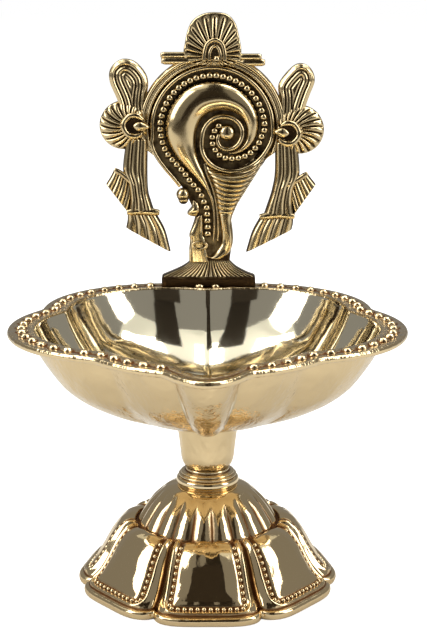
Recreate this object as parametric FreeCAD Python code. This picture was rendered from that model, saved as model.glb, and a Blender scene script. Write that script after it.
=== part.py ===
import FreeCAD, Part
import math
import os

from FreeCAD import Vector

# A brass diya oil lamp: a petalled foot, a turned collar, a five-lobed oil bowl with one
# wick spout, and an upright conch plate on the bowl's rear rim. The bowl is held to the foot
# by a stud with a washer and a nut under the dome, and two screws hold the plate.
# Millimetres. +Z is up, -Y is the front with the spout, and the origin is on the surface
# the lamp stands on, at the centre of the foot, on the axis of the stem.

# ---- foot casting ----
foot_petals = 7
foot_corner_radius = 35.8      # petal corners, where the hem meets the table
foot_valley_depth = 3.6        # how far the hem steps in between two petals
foot_middle_dip = 0.8          # the hem bows in a little between a petal's two corners
foot_skirt_height = 17.2       # top of the petals, where the fluted dome starts
foot_skirt_top_radius = 19.6
foot_dome_top_radius = 8.2
foot_height = 27.6             # flat top of the dome, which the collar stands on
foot_wall = 2.0
foot_top_thickness = 2.6

# ---- turned collar between the foot and the bowl's neck ----
collar_base_radius = 8.4
collar_base_height = 2.8
collar_bead_radius = 7.8
collar_bead_height = 1.2
collar_neck_radius = 5.95
collar_neck_height = 0.8

# ---- bowl casting ----
neck_foot_radius = 5.9         # rounded lower end of the neck, on the collar
neck_radius = 7.3
neck_top_radius = 8.3
neck_round_height = 2.6
neck_length = 12.0
bowl_lobe_radius = 53.7        # outer edge of the rim at the middle of a lobe
bowl_notch_depth = 6.5         # how far the edge steps in between two lobes
bowl_lobes = 5
bowl_depth = 28.5              # from the top of the neck to the top of the rim
bowl_wall = 2.0
bowl_floor_thickness = 3.8
rim_width = 7.4                # flat rim that carries the beading
rim_thickness = 1.8
spout_reach = 8.2              # the wick spout stands this far past the front lobe
spout_half_angle = 14.0

# ---- stud, washer and nut under the dome (M6, pitch 1.0) ----
stud_radius = 3.0
stud_depth_in_neck = 9.0
stud_end_past_nut = 1.0
thread_clearance = 0.05
hole_clearance = 0.3
washer_radius = 6.2
washer_thickness = 1.6
nut_across_flats = 10.0
nut_height = 5.0

# ---- conch plate ----
plate_height = 79.1            # from the rim's top face to the crest
plinth_half_width = 13.8
plinth_height = 2.9
plinth_depth = 4.6
plinth_offset = 0.3            # the plinth stands a little to the right of the stem
plate_thickness = 2.5
disc_radius = 21.3
disc_drop = 32.9               # from the crest down to the middle of the disc
disc_offset = 1.4              # the disc stands a little to the right of the stem
disc_border = 3.9
whorl_rise = 4.0
blossom_radius = 7.0
blossom_rise = 2.6
crest_half_width = 8.3

# ---- two plate screws (M2.5 pan head), driven up through the rear rim ----
screw_radius = 1.25
screw_head_radius = 2.4
screw_head_height = 1.5
screw_length_in_plinth = 4.0
screw_spacing = 15.0
screw_inset = 1.9              # from the back of the plinth
screw_fit = 0.02
screw_head_gap = 0.3           # between a screw's head and the bowl's wall

# ---- heights that follow from the sizes above ----
collar_height = collar_base_height + collar_bead_height + collar_neck_height
neck_foot_z = foot_height + collar_height
neck_top_z = neck_foot_z + neck_length
rim_z = neck_top_z + bowl_depth
crest_z = rim_z + plate_height
disc_z = crest_z - disc_drop
bowl_notch_radius = bowl_lobe_radius - bowl_notch_depth
foot_inner_top_z = foot_height - foot_top_thickness

RING_POINTS = 100
ROUND = 2.0 * math.pi


def polar(radius, angle, height):
    """Point at an angle measured from the front (-Y) towards +X."""
    return Vector(radius * math.sin(angle), -radius * math.cos(angle), height)


def ring(radius_at, height, count=RING_POINTS):
    """Closed smooth wire at one height; radius_at gives the radius at each angle."""
    angles = [ROUND * i / count + math.pi for i in range(count)]
    points = [polar(radius_at(a), a, height) for a in angles]
    curve = Part.BSplineCurve()
    curve.interpolate(Points=points, PeriodicFlag=True)
    return Part.Wire([curve.toShape()])


def cylinder(radius, bottom, top, x=0.0, y=0.0):
    return Part.makeCylinder(radius, top - bottom, Vector(x, y, bottom))


def round_edges(shape, above):
    """The closed circular edges of a turned shape that lie above a height."""
    return [edge for edge in shape.Edges if edge.Closed and edge.BoundBox.ZMin > above]


def turned(straight, curved=()):
    """Solid of revolution about Z: straight runs through (r, z) points, then a curved run."""
    path = [Vector(r, 0, z) for r, z in straight]
    edges = [Part.LineSegment(a, b).toShape() for a, b in zip(path, path[1:])]
    if curved:
        run = [Vector(r, 0, z) for r, z in curved]
        spline = Part.BSplineCurve()
        spline.interpolate(Points=run)
        edges.append(spline.toShape())
    else:
        edges.append(Part.LineSegment(path[-1], path[0]).toShape())
    face = Part.Face(Part.Wire(edges))
    return face.revolve(Vector(0, 0, 0), Vector(0, 0, 1), 360)


def save(shape, node):
    shape = shape.removeSplitter()
    if len(shape.Solids) == 1:
        shape = shape.Solids[0]
    print(node, shape.isValid(), len(shape.Solids), round(shape.Volume, 1))
    shape.exportStep("parts/" + node + ".step")


# ================= foot =================
# Fractions of the way out from the dome to the corners, and of the skirt's height.
SKIRT_STEPS = [
    (0.00, 1.06), (0.14, 0.99), (0.36, 0.80), (0.52, 0.54), (0.71, 0.32), (0.93, 0.115), (1.00, 0.0),
]
SKIRT_POINTS = 12 * foot_petals


def petal_radius(angle, corner, valley_depth, dip):
    """Hem radius: seven petals, each with two corners and a slightly hollow middle."""
    turn = angle / ROUND * foot_petals
    across = abs(2.0 * (turn - round(turn)))
    radius = corner - valley_depth * across ** 6
    if across < 0.65:
        radius -= dip * (1.0 - (across / 0.65) ** 2) ** 2
    return radius


def skirt(inset):
    """Petalled skirt, from the hem up to the dome, its surface set in by inset."""
    wires = []
    for out, up in reversed(SKIRT_STEPS):
        reach = foot_corner_radius - foot_skirt_top_radius
        corner = foot_skirt_top_radius + reach * out - inset
        share = 0.15 + 0.85 * out
        height = foot_skirt_height * up
        if inset and out < 1.0:
            height -= inset * (0.9 - 0.4 * out)
        elif inset:
            height -= 1.0
        depth = foot_valley_depth * share
        dip = foot_middle_dip * share
        wires.append(ring(lambda a: petal_radius(a, corner, depth, dip), height, SKIRT_POINTS))
    return Part.makeLoft(wires, True, False)


def dome(inset, top):
    """Dome between the petals and the collar, as a smooth turned shape."""
    reach = foot_skirt_top_radius - foot_dome_top_radius
    rise = foot_height - foot_skirt_height
    shares = [(0.0, 1.0), (0.29, 0.90), (0.60, 0.60), (0.82, 0.23), (0.97, 0.0), (0.99, -0.35)]
    curve = []
    for out, up in shares:
        radius = foot_dome_top_radius + reach * out - inset * (0.45 + 0.55 * out)
        height = foot_skirt_height + rise * up - (foot_height - top) * (1.0 - 0.8 * out)
        curve.append((radius, height))
    low = curve[-1]
    start = [low, (0.0, low[1]), (0.0, curve[0][1]), curve[0]]
    return turned(start, curve)


foot = skirt(0.0).fuse(dome(0.0, foot_height))
foot = foot.cut(skirt(foot_wall)).cut(dome(foot_wall, foot_inner_top_z))
foot = foot.cut(cylinder(stud_radius + hole_clearance, foot_inner_top_z - 1.0, foot_height + 1.0))


# ================= collar ring =================
collar_bead_z = foot_height + collar_base_height
collar_neck_z = collar_bead_z + collar_bead_height
collar = cylinder(collar_base_radius, foot_height, collar_bead_z)
collar = collar.makeFillet(0.5, round_edges(collar, foot_height - 1.0))
collar_bead = cylinder(collar_bead_radius, collar_bead_z - 0.2, collar_neck_z)
collar_bead = collar_bead.makeFillet(0.4, round_edges(collar_bead, collar_bead_z))
collar = collar.fuse(collar_bead).fuse(cylinder(collar_neck_radius, collar_neck_z - 0.2, neck_foot_z))
collar = collar.cut(cylinder(stud_radius + hole_clearance, foot_height - 1.0, neck_foot_z + 1.0))


# ================= bowl =================
# Fractions of the depth below the rim's underside, of the radius, and the spout's share.
BOWL_STEPS = [
    (0.00, 0.00, 0.00, 26.0),
    (0.06, 0.10, 0.16, 26.0),
    (0.14, 0.29, 0.30, 22.0),
    (0.25, 0.53, 0.42, 19.0),
    (0.37, 0.68, 0.52, 17.0),
    (0.49, 0.79, 0.62, 16.0),
    (0.64, 0.87, 0.74, 15.0),
    (0.80, 0.94, 0.87, 14.5),
    (1.00, 1.00, 1.00, 14.0),
]


def lobed(angle, lobe, notch):
    """Five round lobes meeting at soft notches; one lobe faces the front."""
    wave = math.sin(bowl_lobes * 0.5 * (angle - math.pi / bowl_lobes))
    share = (wave * wave + 0.012) ** 0.4
    return notch + (lobe - notch) * min(share, 1.0)


def spout(angle, reach, half_angle):
    """Extra radius of the wick spout, a rounded nose at the front."""
    away = abs(math.degrees(math.remainder(angle, ROUND))) / half_angle
    return reach * (1.0 - away * away) ** 2 if away < 1.0 else 0.0


def rim_radius(angle):
    """Outer edge of the rim."""
    lobes = lobed(angle, bowl_lobe_radius, bowl_notch_radius)
    return lobes + spout(angle, spout_reach, spout_half_angle)


# Outside of the body where it meets the rim's underside.
body_lobe_radius = bowl_lobe_radius - rim_width + bowl_wall
body_notch_radius = bowl_notch_radius - rim_width + bowl_wall


def bowl_body(inset, bottom):
    """Lobed body from the neck up to the rim, set in by inset, its lowest ring at bottom."""
    top = rim_z + 1.0 if inset else rim_z - rim_thickness
    wires = []
    for up, out, nose, half_angle in BOWL_STEPS:
        height = bottom + (top - bottom) * up
        lobe = neck_top_radius + (body_lobe_radius - neck_top_radius) * out - inset
        notch = neck_top_radius + (body_notch_radius - neck_top_radius) * out - inset
        if inset:
            lobe = max(lobe, neck_top_radius * 0.5)
            notch = max(notch, neck_top_radius * 0.5)
        reach = spout_reach * nose
        wires.append(ring(lambda a: lobed(a, lobe, notch) + spout(a, reach, half_angle), height))
    return Part.makeLoft(wires, True, False)


rim_face = Part.Face(ring(rim_radius, rim_z - rim_thickness))
rim = rim_face.extrude(Vector(0, 0, rim_thickness))
neck_curve = [
    (neck_foot_radius, neck_foot_z),
    (neck_radius - 0.3, neck_foot_z + neck_round_height),
    (neck_radius, neck_foot_z + neck_length * 0.5),
    (neck_top_radius, neck_top_z),
    (neck_top_radius + 2.0, neck_top_z + 1.4),
]
neck_start = [neck_curve[-1], (0.0, neck_curve[-1][1]), (0.0, neck_foot_z), neck_curve[0]]
neck = turned(neck_start, neck_curve)
bowl = bowl_body(0.0, neck_top_z).fuse(neck).fuse(rim)
bowl = bowl.cut(bowl_body(bowl_wall, neck_top_z + bowl_floor_thickness))
stud_top_z = neck_foot_z + stud_depth_in_neck
bowl = bowl.cut(cylinder(stud_radius + thread_clearance, neck_foot_z - 1.0, stud_top_z + 0.4))


# ================= stud, washer and nut =================
washer_z = foot_inner_top_z - washer_thickness
nut_z = washer_z - nut_height
stud = cylinder(stud_radius, nut_z - stud_end_past_nut, stud_top_z)
stud = stud.makeChamfer(0.5, round_edges(stud, 0.0))
washer = cylinder(washer_radius, washer_z, foot_inner_top_z)
washer = washer.cut(cylinder(stud_radius + hole_clearance, washer_z - 1.0, foot_inner_top_z + 1.0))
nut_corner = nut_across_flats / math.sqrt(3.0)
nut_points = [polar(nut_corner, ROUND * i / 6, nut_z) for i in range(7)]
nut = Part.Face(Part.makePolygon(nut_points)).extrude(Vector(0, 0, nut_height))
nut_chamfer = turned([
    (nut_corner + 1.0, nut_z + 0.7), (nut_corner + 1.0, washer_z), (0.0, washer_z),
    (0.0, nut_z), (nut_across_flats * 0.5 - 0.4, nut_z),
])
nut = nut.common(nut_chamfer)
nut = nut.cut(cylinder(stud_radius + thread_clearance, nut_z - 1.0, washer_z + 1.0))


# ================= plate screws' line =================
# The heads lie under the rim, just clear of the bowl's wall, and the plinth stands over them.
screw_xs = (plinth_offset - screw_spacing * 0.5, plinth_offset + screw_spacing * 0.5)
screw_angle = math.pi - math.asin(screw_xs[1] / bowl_notch_radius)
wall_at_screws = lobed(screw_angle, body_lobe_radius, body_notch_radius)
screw_reach = wall_at_screws + screw_head_radius + screw_head_gap
screw_y = math.sqrt(screw_reach ** 2 - screw_xs[1] ** 2)
plinth_back = screw_y + screw_inset
plinth_front = plinth_back - plinth_depth
plate_back = plinth_back - 0.4
plate_face = plate_back - plate_thickness


# ================= conch plate =================
def slab(points, front, back, smooth=True):
    """Flat shape cut to an outline of (x, z) points, between the y of its front and its back."""
    path = [Vector(x, front, z) for x, z in points]
    if smooth:
        curve = Part.BSplineCurve()
        curve.interpolate(Points=path, PeriodicFlag=True)
        wire = Part.Wire([curve.toShape()])
    else:
        wire = Part.makePolygon(path + path[:1])
    return Part.Face(wire).extrude(Vector(0, back - front, 0))


def boss(x, z, radius, rise):
    """Low domed boss on the plate's face: the cap of a sphere."""
    ball = (radius * radius + rise * rise) / (2.0 * rise)
    sphere = Part.makeSphere(ball, Vector(x, plate_face - rise + ball, z))
    in_front = Vector(x - 2 * ball, plate_face - ball + 0.5, z - 2 * ball)
    return sphere.common(Part.makeBox(4 * ball, ball, 4 * ball, in_front))


def disc(radius, front, back):
    return Part.makeCylinder(radius, back - front, Vector(disc_offset, front, disc_z), Vector(0, 1, 0))


# The lower half of the conch narrows from the disc to the plinth.
plinth_top_z = rim_z + plinth_height
tail_outline = [
    (-15.2, disc_z - 6.0), (-12.8, disc_z - 11.0), (-8.0, disc_z - 16.6), (-7.4, disc_z - 21.0),
    (-5.6, disc_z - 26.0), (-5.5, plinth_top_z + 7.0), (-6.2, plinth_top_z + 3.2),
    (-11.0, plinth_top_z - 0.5), (12.0, plinth_top_z - 0.5),
    (7.4, plinth_top_z + 3.2), (6.8, plinth_top_z + 8.0),
    (8.0, disc_z - 25.0), (15.3, disc_z - 12.0), (18.0, disc_z - 4.0),
]
bands = [
    slab(tail_outline, plate_face, plate_back, smooth=False),
    disc(disc_radius, plate_face, plate_back),
]
plinth_left = plinth_offset - plinth_half_width
plinth_right = plinth_offset + plinth_half_width
plinth_corner = Vector(plinth_left, plinth_front, rim_z)
fan_outline = [
    (plinth_left + 0.7, plinth_top_z - 0.5), (plinth_right - 0.7, plinth_top_z - 0.5),
    (7.6, plinth_top_z + 4.4), (-7.0, plinth_top_z + 4.4),
]
bands += [
    Part.makeBox(2 * plinth_half_width, plinth_depth, plinth_height, plinth_corner),
    slab(fan_outline, plinth_front + 0.5, plate_back, smooth=False),
]

# Crest, with a short bar on each side of it.
crest_base_z = crest_z - 15.0
crest_left = disc_offset - crest_half_width
crest_right = disc_offset + crest_half_width
crest_outline = [
    (crest_left, crest_base_z), (crest_left, crest_z - 7.5), (crest_left + 2.9, crest_z - 2.2),
    (disc_offset + 0.2, crest_z), (crest_right - 2.5, crest_z - 2.2),
    (crest_right, crest_z - 7.5), (crest_right, crest_base_z),
]
bands.append(slab(crest_outline, plate_face - 0.9, plate_back, smooth=False))
bar_height = 3.4
for left, right, low in ((-14.4, -5.0, crest_z - 14.7), (9.0, 16.6, crest_z - 15.1)):
    bar_corner = Vector(left, plate_face - 0.6, low)
    bands.append(Part.makeBox(right - left, plate_thickness + 0.6, bar_height, bar_corner))

# One blossom each side, with a folded ribbon above it and a hanging tassel below it.
left_blossom = (-24.2, disc_z + 0.9)
right_blossom = (26.7, disc_z - 0.6)
toward_back = Vector(0, 1, 0)
for x, z in (left_blossom, right_blossom):
    middle = Vector(x, plate_face, z)
    bands.append(Part.makeCylinder(blossom_radius, plate_thickness, middle, toward_back))
    bands.append(boss(x, z, blossom_radius - 0.3, blossom_rise))
left_ribbon = [
    (-24.8, disc_z + 6.0), (-28.0, disc_z + 15.6), (-23.6, disc_z + 19.3),
    (-16.9, disc_z + 14.6), (-18.6, disc_z + 5.0),
]
right_ribbon = [
    (28.2, disc_z + 4.0), (30.9, disc_z + 13.4), (26.8, disc_z + 18.4),
    (20.2, disc_z + 13.2), (21.8, disc_z + 4.0),
]
for outline in (left_ribbon, right_ribbon):
    bands.append(slab(outline, plate_face - 0.5, plate_back))
left_tassel = [
    (-24.4, disc_z - 3.0), (-17.0, disc_z - 4.0), (-17.4, disc_z - 17.0), (-13.8, disc_z - 25.0),
    (-10.6, disc_z - 35.0), (-11.2, disc_z - 36.6), (-24.4, disc_z - 29.0), (-24.4, disc_z - 23.2),
    (-29.8, disc_z - 16.5), (-27.0, disc_z - 10.5),
]
right_tassel = [
    (26.5, disc_z - 5.0), (29.9, disc_z - 13.5), (31.7, disc_z - 16.6), (25.4, disc_z - 24.2),
    (25.2, disc_z - 29.6), (11.6, disc_z - 37.0), (11.3, disc_z - 35.4), (15.2, disc_z - 25.4),
    (18.6, disc_z - 15.0), (19.6, disc_z - 5.0),
]
for outline in (left_tassel, right_tassel):
    bands.append(slab(outline, plate_face - 0.5, plate_back, smooth=False))

# Raised work: the border of the disc, the round whorl, its coil and the ribbed cone below.
border = disc(disc_radius, plate_face - 1.0, plate_face + 0.5)
bands.append(border.cut(disc(disc_radius - disc_border, plate_face - 2.0, plate_face + 1.0)))
bands.append(boss(disc_offset - 2.2, disc_z + 1.2, 12.6, whorl_rise))
bands.append(boss(disc_offset + 3.4, disc_z - 1.6, 6.4, whorl_rise))
cone_top = Vector(disc_offset + 5.4, plate_face + 0.4, disc_z - 8.0)
cone_end = Vector(5.0, plate_face + 0.4, plinth_top_z + 2.0)
along = cone_end - cone_top
cone = Part.makeCone(6.9, 1.6, along.Length, cone_top, along)
front_half = Part.makeBox(60, 20, 80, Vector(-30, cone_top.y - 20, rim_z + 1.0))
bands.append(cone.common(front_half))

plate = bands[0]
for band in bands[1:]:
    plate = plate.fuse(band)


# ================= plate screws =================
rim_underside = rim_z - rim_thickness
head_z = rim_underside - screw_head_height
screw_end_z = rim_z + screw_length_in_plinth
screws = []
for x in screw_xs:
    tapped = cylinder(screw_radius + screw_fit, rim_z - 1.0, screw_end_z + 0.3, x, screw_y)
    plate = plate.cut(tapped)
    clear = cylinder(screw_radius + hole_clearance, rim_underside - 1.0, rim_z + 1.0, x, screw_y)
    bowl = bowl.cut(clear)
    head = cylinder(screw_head_radius, head_z, rim_underside, x, screw_y)
    domed = [edge for edge in head.Edges if edge.Closed and edge.BoundBox.ZMax < rim_underside - 1.0]
    head = head.makeFillet(0.7, domed)
    slot_corner = Vector(x - screw_head_radius - 0.5, screw_y - 0.3, head_z - 0.01)
    slot = Part.makeBox(2 * screw_head_radius + 1.0, 0.6, 0.7, slot_corner)
    shank = cylinder(screw_radius, rim_underside - 0.2, screw_end_z, x, screw_y)
    screws.append(head.cut(slot).fuse(shank).removeSplitter())

os.makedirs("parts", exist_ok=True)
save(foot, "foot")
save(collar, "collar_ring")
save(bowl, "bowl")
save(stud, "bowl_stud")
save(washer, "stud_washer")
save(nut, "stud_nut")
save(plate, "conch_plate")
save(Part.makeCompound(screws), "plate_screws")
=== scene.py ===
import math

import bmesh
import bpy
import numpy as np
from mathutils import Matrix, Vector


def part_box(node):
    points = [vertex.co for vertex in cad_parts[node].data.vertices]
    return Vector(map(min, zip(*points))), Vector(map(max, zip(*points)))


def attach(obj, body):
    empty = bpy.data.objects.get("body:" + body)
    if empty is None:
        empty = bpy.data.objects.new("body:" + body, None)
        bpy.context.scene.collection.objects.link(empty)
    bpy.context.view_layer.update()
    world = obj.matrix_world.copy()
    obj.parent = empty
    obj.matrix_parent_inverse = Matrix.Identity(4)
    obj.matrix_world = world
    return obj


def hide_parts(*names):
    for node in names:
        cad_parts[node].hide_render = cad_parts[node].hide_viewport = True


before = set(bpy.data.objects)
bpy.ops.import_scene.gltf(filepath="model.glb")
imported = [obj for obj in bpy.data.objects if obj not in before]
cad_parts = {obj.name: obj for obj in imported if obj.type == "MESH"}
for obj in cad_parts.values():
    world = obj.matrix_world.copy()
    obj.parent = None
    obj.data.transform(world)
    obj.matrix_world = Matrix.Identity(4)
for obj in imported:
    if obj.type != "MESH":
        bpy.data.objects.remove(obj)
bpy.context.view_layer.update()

# A brass diya lamp, built in the order it is put together: foot, collar, bowl, the fasteners
# that hold them, and the conch plate. Shapes are worked out in millimetres, and the mesh
# builder turns them into metres. Angles are measured from the front (-Y) towards +X.

# ---------------------------------------------------------------- foot
# One hollow brass casting: a fluted dome over seven petals, each with a U of beads inside a
# raised border, and a rolled hem. Mirror polished, with brown patina left in the grooves.
MM = 0.001
ROUND = 2.0 * math.pi
FOOT_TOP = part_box("foot")[1][2] / MM
PETALS = 7
PETAL_TURN = ROUND / PETALS
HEM_CORNER = 35.5              # out to a petal's corners
VALLEY_DEPTH = 3.0
MIDDLE_DIP = 0.8
FLUTES = 21
FLUTE_LEAN = math.radians(4.5)   # how far the flutes are turned from the petals
FLUTE_DEPTH = 0.75
FOOT_BEAD = 0.68
FOOT_BEAD_STEP = 1.62
BEAD_ROW_UP = 2.3              # the bottom of the U of beads, above the hem
BEAD_ROW_SIDE = 0.70           # its sides, as a share of half a petal
STUD_HOLE = 3.3


def quads(rows, cols, ring=True, loop=False):
    """Corner numbers of each cell in a grid of points. Rows run down and columns run round
    towards +X, so the faces look outwards. ring joins the last column to the first, and loop
    joins the last row to the first."""
    r = np.arange(rows if loop else rows - 1)[:, None]
    c = np.arange(cols if ring else cols - 1)[None, :]
    below = (r + 1) % rows
    after = (c + 1) % cols
    corners = [r * cols + c, below * cols + c, below * cols + after, r * cols + after]
    return np.stack(corners, -1).reshape(-1, 4)


def patch(x, y, z, worn, ring=True, loop=False, turn_over=False):
    """A surface through a grid of points, with how far each point is rubbed bright, 0 to 1; a low value also
    paints shade on the plinth and under beads.
    """
    x, y, z, worn = np.broadcast_arrays(x, y, z, worn)
    faces = quads(*x.shape, ring, loop)
    if turn_over:
        faces = faces[:, ::-1]
    return np.stack([x, y, z], -1).reshape(-1, 3), faces, worn.reshape(-1)


def curve_through(points, count, closed=False, even=True):
    """Smooth curve through the points: Catmull-Rom spans, resampled in equal steps of length,
    or in equal shares of each span when even is off."""
    p = np.asarray(points, float)
    if closed:
        p = np.vstack([p[-1:], p, p[:2]])
    else:
        p = np.vstack([2 * p[0] - p[1], p, 2 * p[-1] - p[-2]])
    a, b, c, d = p[:-3, None], p[1:-2, None], p[2:-1, None], p[3:, None]
    t = np.linspace(0, 1, 24, endpoint=False)[None, :, None]
    run = b + 0.5 * ((c - a) * t + (2 * a - 5 * b + 4 * c - d) * t**2 + (3 * b - a - 3 * c + d) * t**3)
    run = run.reshape(-1, p.shape[1])
    run = np.vstack([run, run[:1] if closed else p[-2:-1]])
    length = np.arange(len(run))
    if even:
        length = np.r_[0, np.cumsum(np.linalg.norm(np.diff(run, axis=0), axis=1))]
    at = np.linspace(0, length[-1], count, endpoint=not closed)
    return np.column_stack([np.interp(at, length, axis) for axis in run.T])


def hump(distance, width):
    """Bell curve: 1 at no distance, and close to 0 beyond twice the width."""
    return np.exp(-((distance / width) ** 2))


def ease(low, high, value):
    """0 below low, 1 above high, and a smooth step between them."""
    t = np.clip((value - low) / (high - low), 0, 1)
    return t * t * (3 - 2 * t)


def beads(centres, radius, squash=1.0, sides=10, rings=6):
    """Round beads at the centres, each a small ball of rings and sides, bright on top and dark below: patina
    round the foot of a rim bead, painted shade under the beads elsewhere.
    """
    centres = np.asarray(centres, float)
    up = np.linspace(0, math.pi, rings + 1)[:, None]
    round_ = np.arange(sides)[None, :] * ROUND / sides
    ball = np.stack(np.broadcast_arrays(np.sin(up) * np.sin(round_), -np.sin(up) * np.cos(round_),
                                        squash * np.cos(up)), -1).reshape(-1, 3)
    sizes = np.broadcast_to(np.asarray(radius, float), (len(centres),))
    points = centres[:, None] + ball[None] * sizes[:, None, None]
    faces = quads(rings + 1, sides)[None] + (np.arange(len(centres)) * len(ball))[:, None, None]
    # Worn falls from the top of each ball to its bottom, so its lower half shows patina: on the sloping
    # petals and the upright plate that is painted shade under the bead.
    return points.reshape(-1, 3), faces.reshape(-1, 4), np.tile(ease(-0.9, 0.1, ball[:, 2]), len(centres))


def casting(name, patches, material, body, slot, *nodes, inner=None):
    """Joins patches into one mesh piece in metres, merges its seams and poles, and places it.
    inner is a second material with the number of the first patch's face where it starts."""
    starts = np.cumsum([0] + [len(p[0]) for p in patches[:-1]])
    points = np.concatenate([p[0] for p in patches]) * MM
    faces = np.concatenate([p[1] + start for p, start in zip(patches, starts)])
    mesh = bpy.data.meshes.new(name)
    mesh.vertices.add(len(points))
    mesh.vertices.foreach_set("co", points.ravel())
    mesh.loops.add(faces.size)
    mesh.loops.foreach_set("vertex_index", faces.ravel().astype(np.int32))
    mesh.polygons.add(len(faces))
    mesh.polygons.foreach_set("loop_start", np.arange(0, faces.size, 4, dtype=np.int32))
    mesh.update(calc_edges=True)
    if inner:
        number = np.arange(len(faces))
        lined = (number >= inner[1]) & (number < len(patches[0][1]))
        mesh.polygons.foreach_set("material_index", lined.astype(np.int32))
    worn = mesh.attributes.new("worn", "FLOAT", "POINT")
    worn.data.foreach_set("value", np.clip(np.concatenate([p[2] for p in patches]), 0, 1))
    form = bmesh.new()
    form.from_mesh(mesh)
    bmesh.ops.remove_doubles(form, verts=form.verts, dist=1e-7)
    bmesh.ops.recalc_face_normals(form, faces=form.faces)
    form.to_mesh(mesh)
    form.free()
    mesh.shade_smooth()
    mesh.materials.append(material)
    if inner:
        mesh.materials.append(inner[0])
    piece = bpy.data.objects.new(name, mesh)
    bpy.context.scene.collection.objects.link(piece)
    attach(piece, body)
    if nodes:
        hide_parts(*nodes)
    return piece


def brass_wear():
    """Node group for cast brass: patina stays where a point is not worn and where a low worn value
    paints shade, broken up by soft blotches, and polishing leaves faint streaks. Gives a colour,
    a roughness and a height."""
    group = bpy.data.node_groups.new("brass_wear", "ShaderNodeTree")
    for name, kind, value in (
        ("Worn", "NodeSocketFloat", 1.0),
        ("Bright", "NodeSocketColor", (0.8, 0.6, 0.3, 1)),
        ("Patina", "NodeSocketColor", (0.05, 0.03, 0.02, 1)),
        ("Cover", "NodeSocketFloat", 0.5),
        ("Polish", "NodeSocketFloat", 0.1),
        ("Blotch Scale", "NodeSocketFloat", 120.0),
        ("Streak Height", "NodeSocketFloat", 0.1),
        ("Streak Along", "NodeSocketVector", (1, 1, 0.1)),
    ):
        socket = group.interface.new_socket(name, in_out="INPUT", socket_type=kind)
        socket.default_value = value
    for name, kind in (("Color", "NodeSocketColor"), ("Roughness", "NodeSocketFloat"),
                       ("Height", "NodeSocketFloat")):
        group.interface.new_socket(name, in_out="OUTPUT", socket_type=kind)
    add = group.nodes.new
    link = group.links.new

    def maths(operation, *values):
        """Math node fed by plain numbers or by other nodes."""
        node = add("ShaderNodeMath")
        node.operation = operation
        for socket, value in zip(node.inputs, values):
            if isinstance(value, bpy.types.NodeSocket):
                link(value, socket)
            else:
                socket.default_value = value
        return node

    def noise(vector, scale, detail):
        """Noise node with a number or another node for its scale."""
        node = add("ShaderNodeTexNoise")
        node.inputs["Detail"].default_value = detail
        link(vector, node.inputs["Vector"])
        if isinstance(scale, bpy.types.NodeSocket):
            link(scale, node.inputs["Scale"])
        else:
            node.inputs["Scale"].default_value = scale
        return node

    given, put = add("NodeGroupInput"), add("NodeGroupOutput")
    place = add("ShaderNodeTexCoord")
    blotch = noise(place.outputs["Object"], given.outputs["Blotch Scale"], 6)
    blotch.inputs["Roughness"].default_value = 0.6
    spread = maths("MULTIPLY_ADD", blotch.outputs["Fac"], 0.7, given.outputs["Worn"])
    edge = add("ShaderNodeMapRange")
    edge.interpolation_type = "SMOOTHSTEP"
    link(spread.outputs[0], edge.inputs["Value"])
    link(given.outputs["Cover"], edge.inputs["From Min"])
    top = maths("ADD", given.outputs["Cover"], 0.55)
    link(top.outputs[0], edge.inputs["From Max"])
    tone = add("ShaderNodeMix")
    tone.data_type = "RGBA"
    link(edge.outputs[0], tone.inputs["Factor"])
    link(given.outputs["Patina"], tone.inputs[6])
    link(given.outputs["Bright"], tone.inputs[7])
    link(tone.outputs[2], put.inputs["Color"])
    rough = add("ShaderNodeMapRange")
    rough.inputs["To Min"].default_value = 0.5
    link(edge.outputs[0], rough.inputs["Value"])
    link(given.outputs["Polish"], rough.inputs["To Max"])
    haze = noise(place.outputs["Object"], 60, 4)
    cloud = maths("MULTIPLY_ADD", haze.outputs["Fac"], 0.10, rough.outputs[0])
    trim = maths("SUBTRACT", cloud.outputs[0], 0.04)
    trim.use_clamp = True
    link(trim.outputs[0], put.inputs["Roughness"])
    stretch = add("ShaderNodeVectorMath")
    stretch.operation = "MULTIPLY"
    link(place.outputs["Object"], stretch.inputs[0])
    link(given.outputs["Streak Along"], stretch.inputs[1])
    streak = noise(stretch.outputs[0], 900, 3)
    ripple = noise(stretch.outputs[0], 230, 1)
    lift = maths("MULTIPLY_ADD", streak.outputs["Fac"], given.outputs["Streak Height"], ripple.outputs["Fac"])
    link(lift.outputs[0], put.inputs["Height"])
    return group


def brass(name, bright, patina, cover, polish, streak=0.1, along=(1, 1, 0.3), scale=120.0, bump=0.05):
    """Brass material: the wear group's colour, roughness and height on one metal shader."""
    made = bpy.data.materials.new(name)
    made.use_nodes = True
    nodes, link = made.node_tree.nodes, made.node_tree.links.new
    shader = nodes["Principled BSDF"]
    shader.inputs["Metallic"].default_value = 1.0
    wear = nodes.new("ShaderNodeGroup")
    wear.node_tree = BRASS_WEAR
    rubbed = nodes.new("ShaderNodeAttribute")
    rubbed.attribute_name = "worn"
    link(rubbed.outputs["Fac"], wear.inputs["Worn"])
    for socket, value in (("Bright", (*bright, 1)), ("Patina", (*patina, 1)), ("Cover", cover),
                          ("Polish", polish),
                          ("Blotch Scale", scale), ("Streak Height", streak), ("Streak Along", along)):
        wear.inputs[socket].default_value = value
    link(wear.outputs["Color"], shader.inputs["Base Color"])
    link(wear.outputs["Roughness"], shader.inputs["Roughness"])
    grain = nodes.new("ShaderNodeBump")
    grain.inputs["Strength"].default_value = 1.0
    grain.inputs["Distance"].default_value = bump * MM
    link(wear.outputs["Height"], grain.inputs["Height"])
    link(grain.outputs["Normal"], shader.inputs["Normal"])
    return made


BRASS_WEAR = brass_wear()
PALE_BRASS = (0.82, 0.655, 0.40)
BROWN_PATINA = (0.17, 0.075, 0.025)
foot_brass = brass("foot_brass", (0.80, 0.62, 0.36), BROWN_PATINA, 0.68, 0.08, bump=0.32)


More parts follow.
